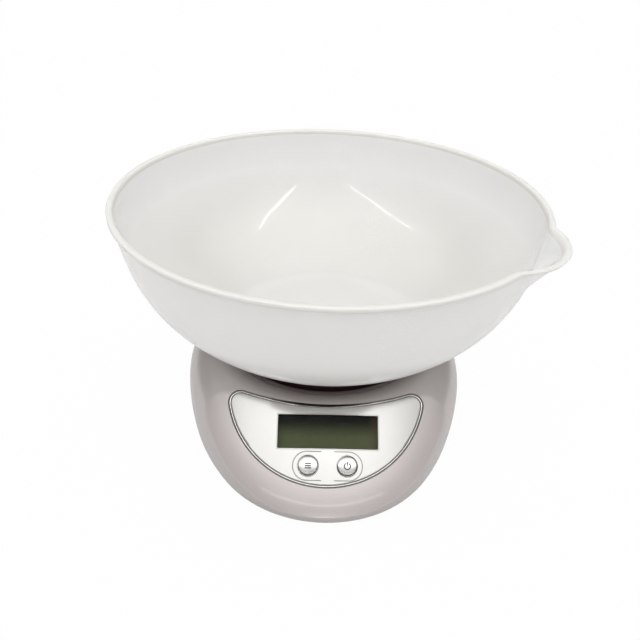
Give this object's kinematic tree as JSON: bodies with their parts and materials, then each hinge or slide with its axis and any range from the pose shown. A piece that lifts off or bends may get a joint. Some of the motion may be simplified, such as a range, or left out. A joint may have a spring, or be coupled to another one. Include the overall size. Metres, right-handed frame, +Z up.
{
  "type": "digital kitchen scale",
  "caption": "Round-based digital kitchen scale with a sloped crescent display panel, two push buttons and a deep lift-off mixing bowl with a pouring spout.",
  "frame": {"origin": "on the floor plane under the common axis of the weighing platform and the bowl", "axes": "+Z up; the display faces forward towards -Y; +X is the right hand side seen from the front"},
  "size_m": [0.2116, 0.2116, 0.126],
  "materials": {
    "lower_housing": "pearl moulded",
    "upper_housing": "pearl painted gloss",
    "panel_overlay": "silver printed film",
    "lcd_window": "clear plastic pane",
    "lcd_glass": "reflective display cell",
    "lcd_frame": "white moulded",
    "zebra_strips": "matt",
    "circuit_board": "solder mask",
    "chip_blob": "resin",
    "tact_switches": "moulded",
    "unit_button": "plated plastic",
    "power_button": "plated plastic",
    "board_screws": "zinc plated",
    "load_cell": "milled",
    "load_cell_free_end": "milled",
    "strain_gauges": "foil film",
    "cell_spacer": "stamped",
    "cell_screws": "zinc plated",
    "platform_carrier": "moulded",
    "carrier_screws": "zinc plated",
    "platform_pan": "pearl moulded",
    "bowl": "translucent milky plastic",
    "housing_screws": "zinc plated",
    "rubber_feet": "matt",
    "battery_door": "moulded",
    "batteries": "printed sleeve",
    "battery_springs": "nickel plated",
    "battery_plates": "nickel plated",
    "cell_lead": "insulated lead",
    "battery_leads": "insulated lead"
  },
  "bodies": {
    "base": {"lower_housing": "lower_housing", "upper_housing": "upper_housing", "panel_overlay": "panel_overlay", "lcd_window": "lcd_window", "lcd_glass": "lcd_glass", "lcd_frame": "lcd_frame", "zebra_strips": "zebra_strips", "circuit_board": "circuit_board", "chip_blob": "chip_blob", "tact_switches": "tact_switches", "board_screws": "board_screws", "load_cell": "load_cell", "strain_gauges": "strain_gauges", "cell_spacer": "cell_spacer", "cell_screws": "cell_screws", "housing_screws": "housing_screws", "rubber_feet": "rubber_feet", "batteries": "batteries", "battery_springs": "battery_springs", "battery_plates": "battery_plates", "cell_lead": "cell_lead", "battery_leads": "battery_leads"},
    "platform": {"load_cell_free_end": "load_cell_free_end", "platform_carrier": "platform_carrier", "carrier_screws": "carrier_screws", "platform_pan": "platform_pan"},
    "bowl": {"bowl": "bowl"},
    "unit_button": {"unit_button": "unit_button"},
    "power_button": {"power_button": "power_button"},
    "battery_door": {"battery_door": "battery_door"}
  },
  "joints": [
    {"name": "platform_travel", "type": "slide", "parent": "base", "child": "platform", "axis": [0, 0, 1], "range_m": [-0.0008, 0], "stiffness_N_per_m": 5000, "springref_m": 0.001},
    {"name": "bowl_lift", "type": "slide", "parent": "platform", "child": "bowl", "axis": [0, 0, 1], "range_m": [0, 0.12]},
    {"name": "unit_press", "type": "slide", "parent": "base", "child": "unit_button", "axis": [0, 0.6561, -0.7547], "range_m": [0, 0.0006], "stiffness_N_per_m": 400, "springref_m": -0.0005},
    {"name": "power_press", "type": "slide", "parent": "base", "child": "power_button", "axis": [0, 0.6561, -0.7547], "range_m": [0, 0.0006], "stiffness_N_per_m": 400, "springref_m": -0.0005},
    {"name": "battery_door_hinge", "type": "hinge", "parent": "base", "child": "battery_door", "pos_m": [0, 0.0236, 0.0036], "axis": [-1, 0, 0], "range_deg": [0, 75]}
  ]
}
